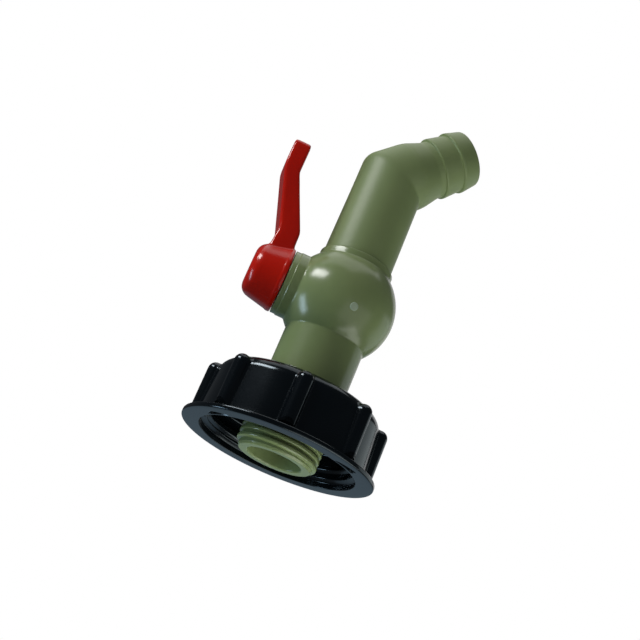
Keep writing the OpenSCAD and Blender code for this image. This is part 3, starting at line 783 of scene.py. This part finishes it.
def bake(obj):
    """Puts the result of the modifiers into the object as a plain mesh."""
    graph = bpy.context.evaluated_depsgraph_get()
    baked = bpy.data.meshes.new_from_object(obj.evaluated_get(graph))
    obj.modifiers.clear()
    obj.data = baked


def squarer_tip(y, up):
    """Moves the half-round tip out to a rounded rectangle of the same width and reach."""
    over = np.maximum(up - TIP_MIDDLE, 0)
    angle = np.arctan2(over, np.abs(y) + 1e-6)
    flat = TIP_HALF / np.maximum(np.cos(angle), np.sin(angle))
    core = TIP_HALF - TIP_CORNER
    along = core * (np.cos(angle) + np.sin(angle))
    arc = along + np.sqrt(np.maximum(along ** 2 - 2 * core ** 2 + TIP_CORNER ** 2, 0))
    at_corner = (flat * np.minimum(np.cos(angle), np.sin(angle))) > core
    grow = np.where(at_corner, np.minimum(arc, flat), flat) / TIP_HALF
    grow = np.where(over > 0, grow, 1.0)
    return y * grow, np.where(over > 0, TIP_MIDDLE + over * grow, up)


source = frame["nodes"]["handle"]
handle_mesh = source.data.copy()
handle_mesh.name = "lever_handle"
finish_mesh(handle_mesh, 30)
handle = add_object("lever_handle", handle_mesh, red)
remesh = handle.modifiers.new("even", "REMESH")
remesh.mode = "VOXEL"
remesh.voxel_size = HANDLE_VOXEL * MM
bake(handle)
count = len(handle.data.vertices)
spots = np.zeros(count * 3)
handle.data.vertices.foreach_get("co", spots)
spots = spots.reshape(-1, 3) / MM
axis_r = np.hypot(spots[:, 1], spots[:, 2] - BALL_MM)
on_lever = smooth_step((axis_r - 13.2) / 1.6)
cap_end = spots[axis_r < 8, 0].min()
at_end = smooth_step((cap_end + END_BAND - spots[:, 0]) / 2)
new_y, new_up = squarer_tip(spots[:, 1], spots[:, 2] - BALL_MM)
moved = np.stack([spots[:, 0], new_y, new_up + BALL_MM], axis=1)
print("tip corners moved by up to %.2f mm" % np.abs(moved - spots).max())
handle.data.vertices.foreach_set("co", (moved * MM).ravel())
group = handle.vertex_groups.new(name="lever")
for level in range(1, 11):
    chosen = np.nonzero(np.round(np.maximum(on_lever, at_end) * 10).astype(int) == level)[0].tolist()
    group.add(chosen, level / 10, "REPLACE")
soften = handle.modifiers.new("soften", "SMOOTH")
soften.factor = 0.5
soften.iterations = CAP_PASSES
bevel = handle.modifiers.new("soften_lever", "SMOOTH")
bevel.factor = 0.5
bevel.iterations = LEVER_PASSES
bevel.vertex_group = "lever"
bake(handle)
handle.vertex_groups.clear()
handle.data.shade_smooth()
handle.data.materials.clear()
handle.data.materials.append(red)
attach(handle, "handle")
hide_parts("handle")
print("handle:", len(handle.data.polygons), "faces,", int((on_lever > 0.5).sum()), "points on the lever")

# %% [markdown]
# The camera stands in front of the valve and below it, and is rolled, so the tap seems to lean. Its
# place was worked out from the photograph's ellipses and edges.
# %% Camera
PHOTO_SIZE = 640
CAMERA_PLACE = Vector((-36.0, -447.5, -105.0)) * MM
CAMERA_AIM = Vector((-4.8, 0.0, 59.6)) * MM
CAMERA_ROLL = math.radians(23.2)
CAMERA_LENS = 67.5

camera_data = bpy.data.cameras.new("camera")
camera_data.lens = CAMERA_LENS
camera_data.sensor_width = 36.0
camera_data.clip_start = 0.01
camera_data.clip_end = 20.0
camera = bpy.data.objects.new("camera", camera_data)
bpy.context.scene.collection.objects.link(camera)
look = (CAMERA_AIM - CAMERA_PLACE).to_track_quat("-Z", "Y").to_matrix().to_4x4()
camera.matrix_world = Matrix.Translation(CAMERA_PLACE) @ look @ Matrix.Rotation(CAMERA_ROLL, 4, "Z")
bpy.context.scene.camera = camera
print("camera looks from", [round(v, 3) for v in CAMERA_PLACE])

# %% [markdown]
# The photograph shows the tap on plain white, from below. So the floor is a pale plane that only
# shows its upper side: from below it is clear, and from above it catches the soft shadow. To the
# camera alone it also glows, more with the distance, so that it fades into the white world.
# %% Floor
FADE_FROM = 0.15
FADE_TO = 1.3
GLOW_NEAR = 0.42


def floor_finish():
    material = bpy.data.materials.new("pale_floor")
    material.use_nodes = True
    nodes = material.node_tree.nodes
    links = material.node_tree.links
    shader = nodes["Principled BSDF"]
    shader.inputs["Base Color"].default_value = (0.86, 0.86, 0.86, 1)
    shader.inputs["Roughness"].default_value = 0.7
    shader.inputs["Specular IOR Level"].default_value = 0.1
    spot = nodes.new("ShaderNodeTexCoord")
    away = nodes.new("ShaderNodeVectorMath")
    away.operation = "LENGTH"
    links.new(spot.outputs["Object"], away.inputs[0])
    fade = nodes.new("ShaderNodeMapRange")
    fade.inputs["From Min"].default_value = FADE_FROM
    fade.inputs["From Max"].default_value = FADE_TO
    fade.inputs["To Min"].default_value = GLOW_NEAR
    fade.inputs["To Max"].default_value = 1.0
    links.new(away.outputs["Value"], fade.inputs["Value"])
    ray_kind = nodes.new("ShaderNodeLightPath")
    glow = nodes.new("ShaderNodeMath")
    glow.operation = "MULTIPLY"
    links.new(fade.outputs["Result"], glow.inputs[0])
    links.new(ray_kind.outputs["Is Camera Ray"], glow.inputs[1])
    shader.inputs["Emission Color"].default_value = (1, 1, 1, 1)
    links.new(glow.outputs["Value"], shader.inputs["Emission Strength"])
    side = nodes.new("ShaderNodeNewGeometry")
    clear = nodes.new("ShaderNodeBsdfTransparent")
    choose = nodes.new("ShaderNodeMixShader")
    links.new(side.outputs["Backfacing"], choose.inputs["Fac"])
    links.new(shader.outputs["BSDF"], choose.inputs[1])
    links.new(clear.outputs["BSDF"], choose.inputs[2])
    links.new(choose.outputs["Shader"], nodes["Material Output"].inputs["Surface"])
    return material


FLOOR_HALF = 3.0
floor_mesh = bpy.data.meshes.new("floor")
floor_mesh.from_pydata([(-FLOOR_HALF, -FLOOR_HALF, 0), (FLOOR_HALF, -FLOOR_HALF, 0),
                        (FLOOR_HALF, FLOOR_HALF, 0), (-FLOOR_HALF, FLOOR_HALF, 0)], [], [(0, 1, 2, 3)])
floor = add_object("floor", floor_mesh, floor_finish())
floor.location.z = -0.0002
floor.visible_glossy = False
floor.visible_transmission = False
floor.visible_diffuse = False
floor.visible_shadow = False

# %% [markdown]
# Soft studio light: large lamps give the long soft highlights on the housing and the cap, and the
# world fills in the rest. To the camera the world is plain white.
# %% World
world = bpy.data.worlds.new("studio")
bpy.context.scene.world = world
world.use_nodes = True
world_nodes = world.node_tree.nodes
world_links = world.node_tree.links
fill = world_nodes["Background"]
fill.inputs["Color"].default_value = (0.86, 0.93, 1.0, 1)
fill.inputs["Strength"].default_value = 0.07
white = world_nodes.new("ShaderNodeBackground")
white.inputs["Color"].default_value = (1, 1, 1, 1)
white.inputs["Strength"].default_value = 1.0
ray = world_nodes.new("ShaderNodeLightPath")
either = world_nodes.new("ShaderNodeMath")
either.operation = "MAXIMUM"
world_links.new(ray.outputs["Is Camera Ray"], either.inputs[0])
world_links.new(ray.outputs["Is Transmission Ray"], either.inputs[1])
choose_world = world_nodes.new("ShaderNodeMixShader")
world_links.new(either.outputs[0], choose_world.inputs["Fac"])
world_links.new(fill.outputs["Background"], choose_world.inputs[1])
world_links.new(white.outputs["Background"], choose_world.inputs[2])
world_links.new(choose_world.outputs["Shader"], world_nodes["World Output"].inputs["Surface"])

# %% Lamps
def soft_lamp(name, direction, distance, size, power, colour=(1, 1, 1)):
    """A lamp of (width, height) that shines at the ball housing from a direction."""
    data = bpy.data.lights.new(name, "AREA")
    data.shape = "RECTANGLE"
    data.size, data.size_y = size
    data.energy = power
    data.color = colour
    lamp = bpy.data.objects.new(name, data)
    target = Vector((0, 0, BALL_Z))
    spot = target + Vector(direction).normalized() * distance
    lamp.matrix_world = Matrix.Translation(spot) @ (target - spot).to_track_quat(
        "-Z", "Y").to_matrix().to_4x4()
    bpy.context.scene.collection.objects.link(lamp)
    return lamp


soft_lamp("key_lamp", (-0.80, -0.27, 0.53), 0.9, (0.46, 0.20), 5.0)
soft_lamp("cool_lamp", (-0.93, -0.04, -0.37), 0.9, (0.20, 0.44), 2.5, (0.62, 0.82, 1.0))
soft_lamp("top_lamp", (-0.1, 0.10, 1.0), 1.2, (1.3, 1.3), 5.5)
soft_lamp("low_lamp", (0.50, -0.10, -1.0), 0.8, (0.8, 0.8), 5.0, (0.97, 1.0, 0.94))
soft_lamp("fill_lamp", (0.55, -0.75, -0.35), 1.3, (1.5, 1.1), 3.2)
soft_lamp("sweep_lamp", (0.1, 1.0, -0.35), 1.2, (1.2, 1.0), 0.8, (0.5, 0.78, 1.0))
soft_lamp("back_lamp", (0.35, 1.0, 0.45), 1.2, (1.0, 0.8), 1.6)
soft_lamp("side_lamp", (1.0, 0.45, 0.0), 1.1, (0.8, 0.8), 1.4, (0.9, 1.0, 1.0))

# %% [markdown]
# Last come the view settings.
# %% Finish
bpy.context.scene.view_settings.view_transform = "Standard"
